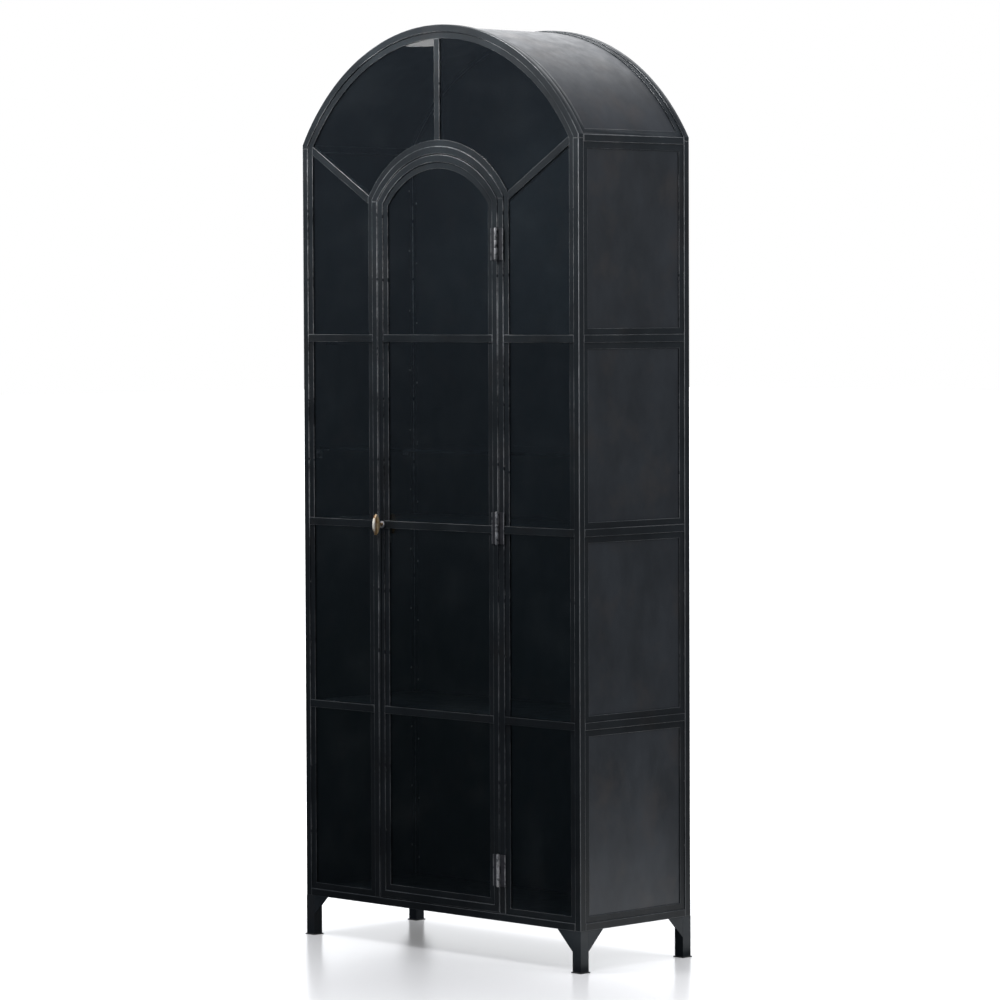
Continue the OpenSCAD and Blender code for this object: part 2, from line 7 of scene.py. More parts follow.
import bmesh
import bpy
from mathutils import Matrix, Vector


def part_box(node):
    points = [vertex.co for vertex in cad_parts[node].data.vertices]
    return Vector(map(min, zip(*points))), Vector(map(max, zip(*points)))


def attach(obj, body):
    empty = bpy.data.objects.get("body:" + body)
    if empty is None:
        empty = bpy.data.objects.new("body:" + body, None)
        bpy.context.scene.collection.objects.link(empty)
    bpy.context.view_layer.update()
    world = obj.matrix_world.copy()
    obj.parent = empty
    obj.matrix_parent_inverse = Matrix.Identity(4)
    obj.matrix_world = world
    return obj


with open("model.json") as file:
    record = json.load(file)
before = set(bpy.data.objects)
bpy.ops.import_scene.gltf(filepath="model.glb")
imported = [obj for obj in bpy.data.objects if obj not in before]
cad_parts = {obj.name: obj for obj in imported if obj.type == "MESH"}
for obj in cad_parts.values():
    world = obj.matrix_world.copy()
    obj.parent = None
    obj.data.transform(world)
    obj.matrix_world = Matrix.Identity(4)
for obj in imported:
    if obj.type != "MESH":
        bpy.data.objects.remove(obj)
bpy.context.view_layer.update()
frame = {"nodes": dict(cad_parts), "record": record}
NODES = frame["nodes"]

FRONT_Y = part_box("front_arch")[0].y
REAR_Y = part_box("rear_arch")[1].y
MID_Y = (FRONT_Y + REAR_Y) / 2
HALF_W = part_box("post_front_right")[1].x

# The camera stands well back at the height of a tall person's eyes, looking at a front corner.
# Places are in metres, angles in radians, and the lens and its sensor in millimetres. It sees as far as
# CAMERA_REACH, in metres.
CAMERA_PLACE = Vector((8.406, MID_Y - 8.326, 1.740))
CAMERA_TURN = 0.78867
CAMERA_DIP = 0.04435
CAMERA_TILT = -0.00382
CAMERA_LENS = 157.03
CAMERA_SENSOR = 36
CAMERA_REACH = 200

random.seed(7)

# Heights and planes that the finishes and the weld beads follow.
SIDE_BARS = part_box("side_bars_right")
BAR_HEIGHT = 0.020
PITCH = (SIDE_BARS[1].z - SIDE_BARS[0].z - BAR_HEIGHT) / 2
BAR_LEVELS = [SIDE_BARS[0].z + BAR_HEIGHT / 2 + k * PITCH for k in range(3)]
RAIL_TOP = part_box("bottom_rail_front")[1].z
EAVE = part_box("eave_rail_right")[0].z
BAYS = list(zip([RAIL_TOP] + BAR_LEVELS, BAR_LEVELS + [EAVE]))
STRIP_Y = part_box("front_strips")[0].y
STRIP_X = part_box("side_strips")[1].x
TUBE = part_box("bottom_rail_front")[1].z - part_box("bottom_rail_front")[0].z
TACK_PITCH = PITCH / 3

# The hinge pins' axis and the reach of a leaf from it. The bare steel covers the barrels, out to BARREL from
# the axis, and each leaf's far edge, from LEAF_RIM on. Both pairs say where a soft change starts and ends.
PIN_X = (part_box("hinge_pins")[0].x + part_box("hinge_pins")[1].x) / 2
PIN_Y = (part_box("hinge_pins")[0].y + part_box("hinge_pins")[1].y) / 2
LEAF_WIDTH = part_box("hinge_frame_leaves")[1].x - PIN_X
BARREL = (0.0048, 0.0054)
LEAF_RIM = (LEAF_WIDTH - 0.0022, LEAF_WIDTH - 0.0012)
# The planes where the knob's grip begins and ends, and where its neck meets the steel rose.
GRIP_DEPTH = 0.023
GRIP_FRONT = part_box("turn_knob")[0].y
GRIP_BACK = GRIP_FRONT + GRIP_DEPTH
ROSE_FRONT = FRONT_Y - 0.0034


# ---------------------------------------------------------------- node helpers

class Shader:
    """A material being built: short calls for the nodes that every finish uses."""

    def __init__(self, name):
        self.material = bpy.data.materials.new(name)
        self.material.use_nodes = True
        self.nodes = self.material.node_tree.nodes
        self.links = self.material.node_tree.links
        self.nodes.clear()
        self.output = self.nodes.new("ShaderNodeOutputMaterial")
        self.surface = self.nodes.new("ShaderNodeBsdfPrincipled")
        self.links.new(self.surface.outputs[0], self.output.inputs["Surface"])
        self.coordinates = self.nodes.new("ShaderNodeTexCoord")
        self.place = self.coordinates.outputs["Object"]

    def fixed(self, **values):
        """Sets the shader's own sockets, named with underscores for spaces."""
        for name, value in values.items():
            self.surface.inputs[name.replace("_", " ")].default_value = value

    def stretched(self, scale):
        """The object's coordinates, scaled along each axis."""
        mapping = self.nodes.new("ShaderNodeMapping")
        mapping.inputs["Scale"].default_value = scale
        self.links.new(self.place, mapping.inputs["Vector"])
        return mapping.outputs[0]

    def noise(self, scale, detail=4.0, rough=0.55, stretch=(1, 1, 1)):
        node = self.nodes.new("ShaderNodeTexNoise")
        node.inputs["Scale"].default_value = scale
        node.inputs["Detail"].default_value = detail
        node.inputs["Roughness"].default_value = rough
        self.links.new(self.stretched(stretch), node.inputs["Vector"])
        return node.outputs["Fac"]

    def ramp(self, value, stops):
        """Colours or greys at positions along a value."""
        node = self.nodes.new("ShaderNodeValToRGB")
        points = node.color_ramp.elements
        while len(points) < len(stops):
            points.new(0.5)
        for point, (position, colour) in zip(points, stops):
            grey = isinstance(colour, (int, float))
            point.position = position
            point.color = (colour, colour, colour, 1) if grey else (*colour, 1)
        self.links.new(value, node.inputs["Fac"])
        return node.outputs["Color"]

    def mix(self, factor, a, b):
        node = self.nodes.new("ShaderNodeMix")
        node.data_type = "RGBA"
        for socket, value in ((node.inputs[0], factor), (node.inputs[6], a), (node.inputs[7], b)):
            if isinstance(value, bpy.types.NodeSocket):
                self.links.new(value, socket)
            elif isinstance(value, (int, float)):
                socket.default_value = value
            else:
                socket.default_value = (*value, 1)
        return node.outputs[2]

    def math(self, operation, a, b):
        node = self.nodes.new("ShaderNodeMath")
        node.operation = operation
        for socket, value in zip(node.inputs, (a, b)):
            if isinstance(value, bpy.types.NodeSocket):
                self.links.new(value, socket)
            else:
                socket.default_value = value
        return node.outputs[0]

    def axis(self, name):
        """One of the object's coordinates, in metres."""
        split = self.nodes.new("ShaderNodeSeparateXYZ")
        self.links.new(self.place, split.inputs[0])
        return split.outputs[name]

    def between(self, value, low, high, soft):
        """1 where a value lies between two limits and 0 outside them, with soft edges."""
        rising = self.fade(value, low - soft, low)
        falling = self.fade(value, high, high + soft)
        return self.math("MULTIPLY", rising, self.invert(falling))

    def fade(self, value, start, end):
        """0 below start, 1 above end, and straight in between."""
        node = self.nodes.new("ShaderNodeMapRange")
        node.inputs["From Min"].default_value = start
        node.inputs["From Max"].default_value = end
        self.links.new(value, node.inputs["Value"])
        return node.outputs[0]

    def raised(self, value, least):
        """Squeezes 0 to 1 into the range from a least value up to 1."""
        return self.math("ADD", self.math("MULTIPLY", value, 1 - least), least)

    def size(self, value):
        return self.math("ABSOLUTE", value, 0)

    def distance(self, a, b):
        """How far apart two points are that differ by a along one axis and by b along the other."""
        return self.math("SQRT", self.math("ADD", self.math("MULTIPLY", a, a), self.math("MULTIPLY", b, b)), 0)

    def invert(self, value):
        return self.math("SUBTRACT", 1.0, value)

    def feed(self, socket, value):
        self.links.new(value, self.surface.inputs[socket])

    def bump(self, height, strength, distance):
        node = self.nodes.new("ShaderNodeBump")
        node.inputs["Strength"].default_value = strength
        node.inputs["Distance"].default_value = distance
        self.links.new(height, node.inputs["Height"])
        self.links.new(node.outputs[0], self.surface.inputs["Normal"])


# Between these heights painted shade darkens the members' colour, and dims the bare steel of their worn edges,
# towards the floor.
PAINTED_SHADE_HEIGHTS = (0.2, 2.1)
WEAR_PAINTED_SHADE_HEIGHTS = (0.1, 1.9)
WEAR_PAINTED_SHADE_LEAST = 0.15
# Wear of a level edge and of the case's outer corners, where 1 is bare steel.
LYING_WEAR = 0.3
CORNER_WEAR = 0.9
# Where the two tacks of a bay interrupt the wear, as parts of the bay's height, and how far they wander in metres.
TACK_GAPS = (0.327, 0.660)
TACK_GAP = 0.013
TACK_SOFT = 0.004
TACK_WANDER = 0.10
# Grain of the scratches on bare steel, drawn out along Z.
BRUSHED = (1, 1, 0.12)


def waxed_black(name, low, high, warm, gloss, streak=(1, 1, 1), painted_shade_least=1.0):
    """Blackened steel under wax: cloudy, faintly warm in patches, and darkened towards the floor by painted shade.
    """
    s = Shader(name)
    clouds = s.noise(9, 5, 0.6, streak)
    patches = s.noise(7.5, 4, 0.6)
    grain = s.noise(240, 3, 0.6)
    base = s.ramp(clouds, [(0.3, low), (0.7, high)])
    tint = s.ramp(patches, [(0.52, 0.0), (0.72, 0.55)])
    # Painted shade: the colour is darkened towards the floor, down to the least value given.
    shade = s.raised(s.fade(s.axis("Z"), *PAINTED_SHADE_HEIGHTS), painted_shade_least)
    s.feed("Base Color", s.mix(shade, (0, 0, 0), s.mix(tint, base, warm)))
    s.feed("Roughness", s.ramp(s.noise(26, 5, 0.65, streak), [(0.3, 0.35), (0.72, 0.48)]))
    s.bump(s.math("ADD", s.math("MULTIPLY", clouds, 1.2), s.math("MULTIPLY", grain, 0.35)), 0.13, 0.0012)
    s.fixed(Metallic=0.3, Specular_IOR_Level=gloss)
    return s.material


def worn_edge(name, cover, bare):
    """The rounded edge of a member, rubbed through to steel in long strokes that stop at the tack welds."""
    s = Shader(name)
    strokes = s.noise(4.5, 4, 0.55)
    chips = s.noise(120, 3, 0.6)
    wear = s.math("ADD", s.math("MULTIPLY", strokes, 0.8), s.math("MULTIPLY", chips, 0.2))
    facing = s.nodes.new("ShaderNodeSeparateXYZ")
    s.links.new(s.coordinates.outputs["Normal"], facing.inputs[0])
    level = s.fade(s.size(facing.outputs["Z"]), 0.25, 0.4)
    upright = s.fade(wear, 0.42, 0.58)
    lying = s.math("MULTIPLY", s.fade(wear, 0.46, 0.60), LYING_WEAR)
    wander = s.math("MULTIPLY", s.math("SUBTRACT", s.noise(9, 1, 0.5), 0.5), TACK_WANDER)
    height = s.math("ADD", s.axis("Z"), wander)
    part = s.math("FRACT", s.math("DIVIDE", s.math("SUBTRACT", height, BAR_LEVELS[0] - PITCH), PITCH), 0)
    gaps = s.math("ADD", *(s.between(part, low, low + TACK_GAP, TACK_SOFT) for low in TACK_GAPS))
    stroke = s.math("MULTIPLY", upright, s.invert(gaps))
    corner = s.fade(s.size(s.axis("X")), HALF_W - 0.004, HALF_W - 0.002)
    stroke = s.math("MAXIMUM", stroke, s.math("MULTIPLY", corner, CORNER_WEAR))
    worn = s.math("ADD", s.math("MULTIPLY", stroke, s.invert(level)), s.math("MULTIPLY", lying, level))
    # Painted shade: the bare steel of the worn edges is dimmed towards the floor.
    wear_painted_shade = s.raised(s.fade(s.axis("Z"), *WEAR_PAINTED_SHADE_HEIGHTS), WEAR_PAINTED_SHADE_LEAST)
    stained = tuple(0.6 * c for c in bare)
    steel = s.ramp(s.noise(60, 5, 0.6), [(0.3, stained), (0.7, bare)])
    s.feed("Base Color", s.mix(s.math("MULTIPLY", worn, wear_painted_shade), cover, steel))
    s.feed("Roughness", s.ramp(chips, [(0.3, 0.34), (0.75, 0.46)]))
    s.bump(chips, 0.1, 0.0004)
    s.fixed(Metallic=0.0, Specular_IOR_Level=0.4)
    return s.material


def worn_steel(name):
    """Bare steel, rubbed bright and stained dark in the hollows."""
    s = Shader(name)
    stains = s.noise(70, 5, 0.65)
    scratches = s.noise(220, 4, 0.6, BRUSHED)
    bright = s.ramp(scratches, [(0.3, (0.22, 0.22, 0.225)), (0.75, (0.46, 0.46, 0.47))])
    s.feed("Base Color", s.mix(s.ramp(stains, [(0.38, 1.0), (0.56, 0.0)]), bright, (0.10, 0.097, 0.09)))
    s.feed("Roughness", s.ramp(stains, [(0.3, 0.5), (0.7, 0.34)]))
    s.bump(scratches, 0.2, 0.0004)
    s.fixed(Metallic=0.6)
    return s.material


def hinge_steel():
    """Painted leaves with the black rubbed off the barrels and along the leaves' long edges."""
    s = Shader("hinge_steel")
    dx = s.math("SUBTRACT", s.axis("X"), PIN_X)
    dy = s.math("SUBTRACT", s.axis("Y"), PIN_Y)
    barrel = s.invert(s.fade(s.distance(dx, dy), *BARREL))
    rim = s.fade(s.size(dx), *LEAF_RIM)
    stains = s.noise(85, 5, 0.65)
    kept = s.fade(stains, 0.36, 0.50)
    bare = s.math("MULTIPLY", s.math("MAXIMUM", barrel, rim), kept)
    scratches = s.noise(220, 4, 0.6, BRUSHED)
    steel = s.ramp(scratches, [(0.3, (0.24, 0.24, 0.245)), (0.75, (0.44, 0.44, 0.45))])
    paint = s.ramp(stains, [(0.3, (0.02, 0.02, 0.024)), (0.7, (0.04, 0.04, 0.045))])
    s.feed("Base Color", s.mix(bare, paint, steel))
    s.feed("Roughness", s.ramp(stains, [(0.3, 0.5), (0.7, 0.36)]))
    s.bump(scratches, 0.2, 0.0004)
    s.fixed(Metallic=0.4)
    return s.material


def aged_brass():
    """Brass with a painted highlight that makes its front face near white, a band of painted shade behind that
    face, and painted shade again towards its steel rose.
    """
    s = Shader("aged_brass")
    patina = s.noise(75, 5, 0.6)
    cast = s.noise(420, 3, 0.6)
    brass = s.ramp(patina, [(0.30, (0.55, 0.33, 0.13)), (0.5, (0.84, 0.62, 0.33)), (0.72, (0.96, 0.84, 0.62))])
    y = s.axis("Y")
    # Painted shade darkens the back of the grip and its neck. A painted highlight makes the front face near white,
    # and a band of painted shade lies just behind that face.
    painted_neck_shade = s.fade(y, GRIP_BACK - 0.010, GRIP_BACK + 0.002)
    painted_front_highlight = s.mix(s.fade(y, GRIP_FRONT, GRIP_FRONT + 0.010), (1.0, 0.96, 0.87), brass)
    shade_band_mask = s.between(y, GRIP_FRONT + 0.0045, GRIP_FRONT + 0.0105, 0.0008)
    painted_shade_band = s.math("MULTIPLY", shade_band_mask, s.ramp(patina, [(0.35, 1.0), (0.65, 0.6)]))
    shaded = s.mix(painted_shade_band, painted_front_highlight, (0.30, 0.15, 0.05))
    darkened = s.mix(painted_neck_shade, shaded, (0.16, 0.10, 0.05))
    rose = s.fade(y, ROSE_FRONT - 0.0002, ROSE_FRONT + 0.0002)
    steel = s.ramp(cast, [(0.3, (0.28, 0.28, 0.285)), (0.7, (0.56, 0.56, 0.57))])
    s.feed("Base Color", s.mix(rose, darkened, steel))
    s.feed("Roughness", s.ramp(patina, [(0.3, 0.42), (0.7, 0.28)]))
    s.bump(s.math("ADD", patina, s.math("MULTIPLY", cast, 0.3)), 0.15, 0.0004)
    s.fixed(Metallic=0.2)
    return s.material


# Depth of the cut edge's colour, and what a pane lets through of the light that falls on things behind it.
CUT_EDGE = 0.001
SHADOW_TINT = (0.45, 0.48, 0.49, 1)


def pane_glass(name, edge_from=None):
    """Float glass with the faint arcs that a cloth leaves in a film of dust, and a dark green cut edge."""
    s = Shader(name)
    wipes = s.nodes.new("ShaderNodeTexWave")
    wipes.wave_type = "RINGS"
    wipes.rings_direction = "Y"
    wipes.inputs["Scale"].default_value = 3.2
    wipes.inputs["Distortion"].default_value = 9
    wipes.inputs["Detail"].default_value = 3
    s.links.new(s.place, wipes.inputs["Vector"])
    arcs = s.math("ADD", s.math("MULTIPLY", wipes.outputs["Fac"], 0.10), 0.95)
    film = s.math("MULTIPLY", s.noise(5, 5, 0.6), arcs)
    tint = s.ramp(film, [(0.3, (0.62, 0.68, 0.70)), (0.7, (0.68, 0.74, 0.76))])
    if edge_from is not None:
        inside = s.fade(s.axis("Y"), edge_from, edge_from + CUT_EDGE)
        tint = s.mix(inside, (0.004, 0.010, 0.009), tint)
    s.feed("Base Color", tint)
    clear = s.nodes.new("ShaderNodeBsdfTransparent")
    clear.inputs["Color"].default_value = SHADOW_TINT
    pick = s.nodes.new("ShaderNodeMixShader")
    s.links.new(s.nodes.new("ShaderNodeLightPath").outputs["Is Shadow Ray"], pick.inputs[0])
    s.links.new(s.surface.outputs[0], pick.inputs[1])
    s.links.new(clear.outputs[0], pick.inputs[2])
    s.links.new(pick.outputs[0], s.output.inputs["Surface"])
    s.feed("Transmission Weight", s.ramp(film, [(0.5, 1.0), (0.8, 0.997)]))
    s.fixed(Roughness=0.0, IOR=1.45)
    return s.material


def dull_foot():
    """The foot plates' dull black, scuffed brown-grey towards the floor."""
    s = Shader("dull_foot")
    scuff = s.noise(130, 5, 0.65)
    s.feed("Base Color", s.ramp(scuff, [(0.35, (0.010, 0.010, 0.010)), (0.75, (0.05, 0.046, 0.042))]))
    s.feed("Roughness", s.ramp(scuff, [(0.3, 0.55), (0.7, 0.8)]))
    s.bump(scuff, 0.3, 0.0006)
    return s.material


def weld_bead():
    """A ground-down tack: dark, with a lighter crown."""
    s = Shader("weld_bead")
    heat = s.noise(260, 4, 0.6)
    s.feed("Base Color", s.ramp(heat, [(0.35, (0.02, 0.02, 0.023)), (0.7, (0.13, 0.13, 0.135))]))
    s.feed("Roughness", s.ramp(heat, [(0.3, 0.3), (0.7, 0.5)]))
    s.bump(heat, 0.3, 0.0004)
    s.fixed(Metallic=0.6)
    return s.material


# The frame's steel is darkened towards the floor by painted shade, down to 0.45 of its colour.
STEEL = waxed_black("waxed_steel", low=(0.0100, 0.0125, 0.0150), high=(0.0215, 0.0270, 0.0315),
                    warm=(0.0290, 0.0270, 0.0265), gloss=0.30, painted_shade_least=0.45)
SHEET = waxed_black("waxed_sheet", low=(0.015, 0.0175, 0.021), high=(0.031, 0.0355, 0.042),
                    warm=(0.044, 0.038, 0.036), gloss=0.5, streak=(1, 1, 0.6))
# The legs get a copy of the waxed steel painted a little lighter, without the painted shade towards the floor.
LIGHTER_LEG_STEEL = waxed_black("waxed_leg", low=(0.0100, 0.0125, 0.0150), high=(0.0240, 0.0290, 0.0335),
                  warm=(0.0290, 0.0270, 0.0265), gloss=0.30)
EDGE = worn_edge("worn_edge", cover=(0.021, 0.025, 0.029), bare=(0.46, 0.47, 0.48))
HINGE = hinge_steel()
BARE = worn_steel("worn_steel")
BRASS = aged_brass()
GLASS = pane_glass("pane_glass")
SHELF_GLASS = pane_glass("shelf_glass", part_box("glass_shelf")[0].y)
FOOT = dull_foot()
WELD = weld_bead()

FINISHES = {
    "black_steel": STEEL, "black_sheet": SHEET, "bright_steel": HINGE,
    "foot_steel": FOOT, "brass": BRASS, "pane_glass": GLASS,
}


# ---------------------------------------------------------------- the CAD nodes

# Radius of the rounded edges, in metres. Pieces not named here keep sharp edges.
TUBE_ROUND = 0.0016
STRIP_ROUND = 0.0008
GRIP_ROUND = 0.0028
GRIP_SEGMENTS = 4
LEAF_ROUND = 0.0004
# Corners sharper than this are rounded, and the curves' facets aren't.
CORNER = math.radians(50)
MERGE = 1e-5
TUBES = ["post_", "front_arch", "rear_arch", "eave_rail", "bottom_rail", "mullion", "doorway_arch",
         "leg_front", "leg_rear", "door_frame"]
FLATS = ["crown_bar", "diagonal_bar", "cross_bars", "side_bars", "rear_bars", "front_strips", "side_strips",
         "back_strips", "roof_strips", "leg_gussets", "foot_plates", "door_bars", "door_strips"]


def named_like(node, prefixes):
    return any(node.startswith(p) for p in prefixes)


def round_edges(node, radius, edge_finish, segments=2):
    """Rounds a node's corners, and gives the rounding its own finish where there is one."""
    o = NODES[node]
    weld = o.modifiers.new("weld", "WELD")
    weld.merge_threshold = MERGE
    bevel = o.modifiers.new("round", "BEVEL")
    bevel.width = radius
    bevel.segments = segments
    bevel.limit_method = "ANGLE"
    bevel.angle_limit = CORNER
    bevel.use_clamp_overlap = False
    bevel.harden_normals = True
    if edge_finish:
        o.data.materials.append(edge_finish)
        bevel.material = 1


for entry in frame["record"]["subparts"]:
    o = NODES[entry["node"]]
    o.data.materials.clear()
    o.data.materials.append(FINISHES[entry["material_slot"]])
for name in ("hinge_pins", "latch_tongue", "glass_shelf_clips"):
    NODES[name].data.materials[0] = BARE
# The legs take the copy of the waxed steel that is painted lighter.
for name in NODES:
    if name.startswith("leg_"):
        NODES[name].data.materials[0] = LIGHTER_LEG_STEEL
NODES["glass_shelf"].data.materials[0] = SHELF_GLASS

for name in NODES:
    if name.startswith("leg_"):
        round_edges(name, STRIP_ROUND, None)
    elif named_like(name, TUBES):
        round_edges(name, TUBE_ROUND, EDGE)
    elif named_like(name, FLATS):
        round_edges(name, STRIP_ROUND, EDGE)
    elif name == "turn_knob":
        round_edges(name, GRIP_ROUND, None, GRIP_SEGMENTS)
    elif name in ("hinge_frame_leaves", "hinge_door_leaves"):
        round_edges(name, LEAF_ROUND, None)


# ---------------------------------------------------------------- tack welds

BEAD_RADIUS = 0.0029
INNER_BEAD_RADIUS = 0.0032
# A bead's height over its radius, and how far its surface strays inwards and outwards.
BEAD_HEIGHT = 0.38
BEAD_STRAY = (-0.14, 0.10)
# How far an inner tack overlaps the post, and how much lower the back's tacks are than the sides'.
TACK_OVERLAP = 0.001
TACK_STAGGER = 0.035
FORWARD, BACKWARD = Vector((0, -1, 0)), Vector((0, 1, 0))


def bead(bm, centre, outward, radius):
    """A low, slightly uneven blob of weld standing on a face."""
    turn = Vector((0, 0, 1)).rotation_difference(outward).to_matrix().to_4x4()
    flatten = Matrix.Diagonal((1, 1, BEAD_HEIGHT, 1))
    made = bmesh.ops.create_icosphere(bm, subdivisions=2, radius=radius,
                                      matrix=Matrix.Translation(centre) @ turn @ flatten)
    for v in made["verts"]:
        v.co += (v.co - centre) * random.uniform(*BEAD_STRAY)


def bead_object(name, body, places, radius=BEAD_RADIUS, finish=WELD):
    """One object that holds a bead at each place and moves with a body."""
    bm = bmesh.new()
    for centre, outward in places:
        bead(bm, centre, outward, radius)
    mesh = bpy.data.meshes.new(name)
    bm.to_mesh(mesh)
    bm.free()
    mesh.materials.append(finish)
    for face in mesh.polygons:
        face.use_smooth = True
    o = bpy.data.objects.new(name, mesh)
    bpy.context.scene.collection.objects.link(o)
    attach(o, body)


def thirds(low, high):
    return [low + (high - low) * t for t in (1 / 3, 2 / 3)]


def case_tacks():
    """Tacks where the lining strips meet the tubes, two to a bay."""
    places = []
    edge_x = HALF_W - TUBE
    mullion_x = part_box("mullion_right")[1].x
    for low, high in BAYS:
        for z in thirds(low, high):
            for x in (edge_x, mullion_x):
                for side in (-1, 1):
                    places.append((Vector((side * x, STRIP_Y, z)), FORWARD))
            for side in (-1, 1):
                for y in (FRONT_Y + TUBE, REAR_Y - TUBE):
                    places.append((Vector((side * STRIP_X, y, z)), Vector((side, 0, 0))))
                places.append((Vector((side * edge_x, REAR_Y - (STRIP_Y - FRONT_Y), z)), BACKWARD))
    return places


def door_tacks():
    """Tacks along the door's lining strips, two to a pane."""
    low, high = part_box("door_strips")
    levels = [low.z] + BAR_LEVELS + [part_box("mullion_right")[1].z]
    places = []
    for bottom, top in zip(levels, levels[1:]):
        for z in thirds(bottom, top):
            for x in (low.x, high.x):
                places.append((Vector((x, STRIP_Y, z)), FORWARD))
    return places


def inner_tacks():
    """Bright tacks inside, where the sheets meet the rear posts, three or so to a bay."""
    wall_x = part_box("side_sheet_right")[0].x
    wall_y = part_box("back_sheet")[0].y
    post_x, post_y = HALF_W - TUBE, REAR_Y - TUBE
    places = []
    z = RAIL_TOP + TACK_PITCH / 2
    while z < EAVE:
        for side in (-1, 1):
            places.append((Vector((side * wall_x, post_y - TACK_OVERLAP, z)), Vector((-side, 0, 0))))
            places.append((Vector((side * (post_x - TACK_OVERLAP), wall_y, z - TACK_STAGGER)), FORWARD))
        z += TACK_PITCH
    return places


bead_object("tack_welds", "case", case_tacks())
bead_object("inner_tack_welds", "case", inner_tacks(), INNER_BEAD_RADIUS, BARE)
bead_object("door_tack_welds", "door", door_tacks())


# ---------------------------------------------------------------- floor, light and camera

# Brightness of the room by height, from straight down (0) through the horizon (0.5) to straight up (1).
ROOM_STOPS = [
    (0.40, (0.010, 0.010, 0.013)),
    (0.46, (0.045, 0.060, 0.072)),
    (0.53, (0.20, 0.24, 0.30)),
    (0.75, (0.22, 0.24, 0.28)),
    (0.97, (0.60, 0.61, 0.65)),
]
# Brighter and darker parts of the room. Each has the way to it, the cosines of the angle from that way
# where it starts and where it is full, and how much it adds.
BACKDROP = ((-0.55, 0.72, 0.42), 0.82, 0.985, 2.2)
FRONT_CEILING = ((-0.30, -0.45, 0.84), 0.62, 0.90, -0.20)
FAR_FLOOR = ((0.68, 0.66, -0.32), 0.90, 0.99, 0.20)

# The floor's glow near the object, kept low there as a painted contact shadow, and the distances between which it
# grows into the white room's.
FLOOR_SIZE = 60
FLOOR_GLOW_IN_PAINTED_SHADOW = 0.18
PAINTED_SHADOW_FADE = (0.45, 3.0)

# The window stands this far from the pane, and shows down to this far below the pane's top.
WINDOW_AWAY = 6.0
WINDOW_WIDTH = 1.2
WINDOW_HEIGHT = 0.5
WINDOW_DROP = 0.020
WINDOW_POWER = 11

# Lamps: name, place, what it points at, width, height, watts, and whether the object mirrors it.
LAMPS = [
    ("overhead", (0.5, 0.6, 6.5), (0, MID_Y, 1.2), 5.0, 4.0, 230, False),
    ("front", (-1.0, -2.0, 4.0), (0, FRONT_Y, 2.0), 1.6, 1.0, 36, True),
    ("crown", (-0.3, -1.1, 3.1), (0, FRONT_Y, 2.45), 0.6, 0.4, 30, True),
    ("fill", (-3.5, -6.5, 5.2), (0, 0, 1.3), 3.0, 2.0, 12, True),
    ("side", (6.5, 2.5, 4.5), (0, 0, 1.3), 3.0, 3.0, 150, True),
    ("floor_bounce", (1.12, 0.45, 0.01), (1.12, 0.45, 1.0), 1.1, 1.2, 6, True),
    ("toe_bounce", (0.45, -0.45, 0.01), (0.45, -0.45, 1.0), 0.5, 0.4, 1.6, False),
]


def straight_sight(nodes, links):
    """1 for what the camera sees directly or through glass, and 0 for what lights the object."""
    path = nodes.new("ShaderNodeLightPath")
    bounces = nodes.new("ShaderNodeMath")
    bounces.operation = "ADD"
    links.new(path.outputs["Diffuse Depth"], bounces.inputs[0])
    links.new(path.outputs["Glossy Depth"], bounces.inputs[1])
    none = nodes.new("ShaderNodeMath")
    none.operation = "LESS_THAN"
    none.inputs[1].default_value = 0.5
    links.new(bounces.outputs[0], none.inputs[0])
    return none.outputs[0]


def floor():
    """A white floor with soft contact shadows, partly cast by the lamps and partly painted by dimming its glow
    near the object, that stays out of the object's reflections.
    """
    mesh = bpy.data.meshes.new("floor")
    corners = [(x * FLOOR_SIZE, y * FLOOR_SIZE, 0) for x, y in ((-1, -1), (1, -1), (1, 1), (-1, 1))]
    mesh.from_pydata(corners, [], [(0, 1, 2, 3)])
    o = bpy.data.objects.new("floor", mesh)
    bpy.context.scene.collection.objects.link(o)
    s = Shader("pale_floor")
    s.fixed(Base_Color=(0.55, 0.55, 0.56, 1), Roughness=0.22, Specular_IOR_Level=0.06,
            Emission_Color=(1, 1, 1, 1))
    # Painted shadow: the floor's glow is weakest near the object and grows to full away from it.
    glow = s.fade(s.distance(s.axis("X"), s.axis("Y")), *PAINTED_SHADOW_FADE)
    glow.node.interpolation_type = "SMOOTHSTEP"
    s.feed("Emission Strength", s.raised(glow, FLOOR_GLOW_IN_PAINTED_SHADOW))
    through = s.nodes.new("ShaderNodeBsdfTransparent")
    choose = s.nodes.new("ShaderNodeMixShader")
    s.links.new(straight_sight(s.nodes, s.links), choose.inputs[0])
    s.links.new(through.outputs[0], choose.inputs[1])
    s.links.new(s.surface.outputs[0], choose.inputs[2])
    s.links.new(choose.outputs[0], s.output.inputs["Surface"])
    mesh.materials.append(s.material)


def softbox(name, place, target, width, height, power, mirrored):
    """A rectangular lamp that is itself unseen."""
    light = bpy.data.lights.new(name, "AREA")
    light.shape = "RECTANGLE"
    light.size = width
    light.size_y = height
    light.energy = power
    o = bpy.data.objects.new(name, light)
    bpy.context.scene.collection.objects.link(o)
    o.location = place
    o.rotation_euler = (Vector(target) - Vector(place)).to_track_quat("-Z", "Y").to_euler()
    o.visible_camera = False
    o.visible_transmission = False
    o.visible_glossy = mirrored


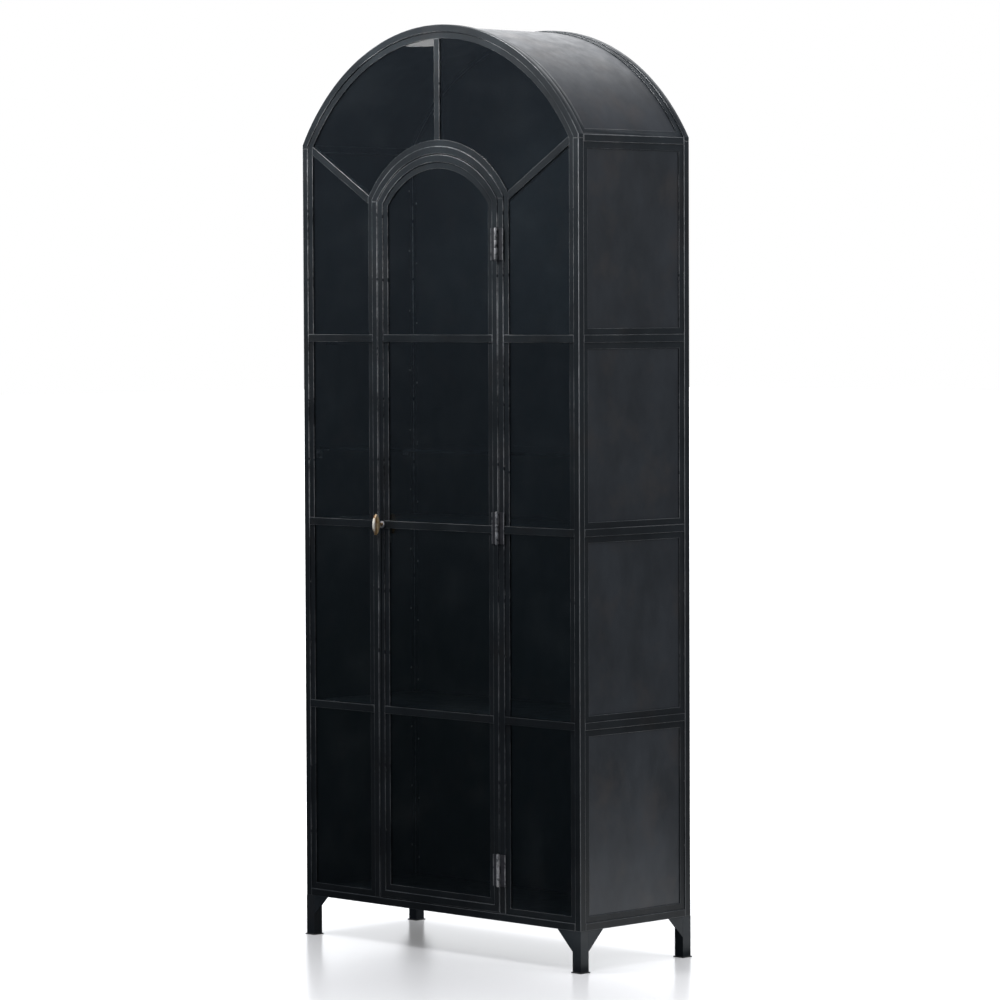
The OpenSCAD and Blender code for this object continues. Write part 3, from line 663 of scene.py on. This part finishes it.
def window():
    """A bright window that the left arch pane mirrors beside the crown bar."""
    glass_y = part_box("arch_pane_left")[0].y
    corner = Vector((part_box("crown_bar")[0].x, glass_y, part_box("crown_bar")[1].z - WINDOW_DROP))
    mirrored_eye = Vector((CAMERA_PLACE.x, 2 * glass_y - CAMERA_PLACE.y, CAMERA_PLACE.z))
    ray = (corner - mirrored_eye).normalized()
    sideways = Vector((0, 0, 1)).cross(ray).normalized()
    place = corner + ray * WINDOW_AWAY - sideways * (WINDOW_WIDTH / 2) + Vector((0, 0, WINDOW_HEIGHT / 2))
    softbox("window", place, place - ray, WINDOW_WIDTH, WINDOW_HEIGHT, WINDOW_POWER, True)


def studio():
    """A white room for the eye. What the object mirrors is dimmer in front and bright behind and overhead."""
    world = bpy.data.worlds.new("studio")
    bpy.context.scene.world = world
    world.use_nodes = True
    nodes, links = world.node_tree.nodes, world.node_tree.links
    nodes.clear()
    output = nodes.new("ShaderNodeOutputWorld")
    seen = nodes.new("ShaderNodeBackground")
    seen.inputs["Color"].default_value = (1, 1, 1, 1)
    room = nodes.new("ShaderNodeBackground")
    place = nodes.new("ShaderNodeTexCoord")
    split = nodes.new("ShaderNodeSeparateXYZ")
    links.new(place.outputs["Generated"], split.inputs[0])

    height = nodes.new("ShaderNodeMapRange")
    height.inputs["From Min"].default_value = -1
    links.new(split.outputs["Z"], height.inputs["Value"])
    walls = nodes.new("ShaderNodeValToRGB")
    links.new(height.outputs[0], walls.inputs["Fac"])
    stops = walls.color_ramp.elements
    stops[0].position, stops[0].color = ROOM_STOPS[0][0], (*ROOM_STOPS[0][1], 1)
    stops[1].position, stops[1].color = ROOM_STOPS[-1][0], (*ROOM_STOPS[-1][1], 1)
    for position, colour in ROOM_STOPS[1:-1]:
        stops.new(position).color = (*colour, 1)

    total = walls.outputs["Color"]
    for way, start, full, strength in (BACKDROP, FRONT_CEILING, FAR_FLOOR):
        facing = nodes.new("ShaderNodeVectorMath")
        facing.operation = "DOT_PRODUCT"
        links.new(place.outputs["Generated"], facing.inputs[0])
        facing.inputs[1].default_value = Vector(way).normalized()
        glow = nodes.new("ShaderNodeMapRange")
        glow.interpolation_type = "SMOOTHSTEP"
        glow.inputs["From Min"].default_value = start
        glow.inputs["From Max"].default_value = full
        glow.inputs["To Max"].default_value = strength
        links.new(facing.outputs["Value"], glow.inputs["Value"])
        both = nodes.new("ShaderNodeVectorMath")
        both.operation = "ADD"
        links.new(total, both.inputs[0])
        links.new(glow.outputs[0], both.inputs[1])
        total = both.outputs[0]
    links.new(total, room.inputs["Color"])

    choose = nodes.new("ShaderNodeMixShader")
    links.new(straight_sight(nodes, links), choose.inputs[0])
    links.new(room.outputs[0], choose.inputs[1])
    links.new(seen.outputs[0], choose.inputs[2])
    links.new(choose.outputs[0], output.inputs["Surface"])


def camera():
    """The photo's view: where the camera stands, and how it turns, dips and tilts."""
    data = bpy.data.cameras.new("camera")
    data.sensor_width = CAMERA_SENSOR
    data.lens = CAMERA_LENS
    data.clip_end = CAMERA_REACH
    o = bpy.data.objects.new("camera", data)
    bpy.context.scene.collection.objects.link(o)
    a, p, tilt = CAMERA_TURN, CAMERA_DIP, CAMERA_TILT
    ahead = Vector((-math.sin(a) * math.cos(p), math.cos(a) * math.cos(p), -math.sin(p)))
    right = Vector((math.cos(a), math.sin(a), 0))
    up = right.cross(ahead)
    side = right * math.cos(tilt) + up * math.sin(tilt)
    top = up * math.cos(tilt) - right * math.sin(tilt)
    turn = Matrix((side, top, -ahead)).transposed().to_4x4()
    o.matrix_world = Matrix.Translation(CAMERA_PLACE) @ turn
    bpy.context.scene.camera = o


floor()
studio()
for lamp in LAMPS:
    softbox(*lamp)
window()
camera()
bpy.context.scene.view_settings.view_transform = "Standard"
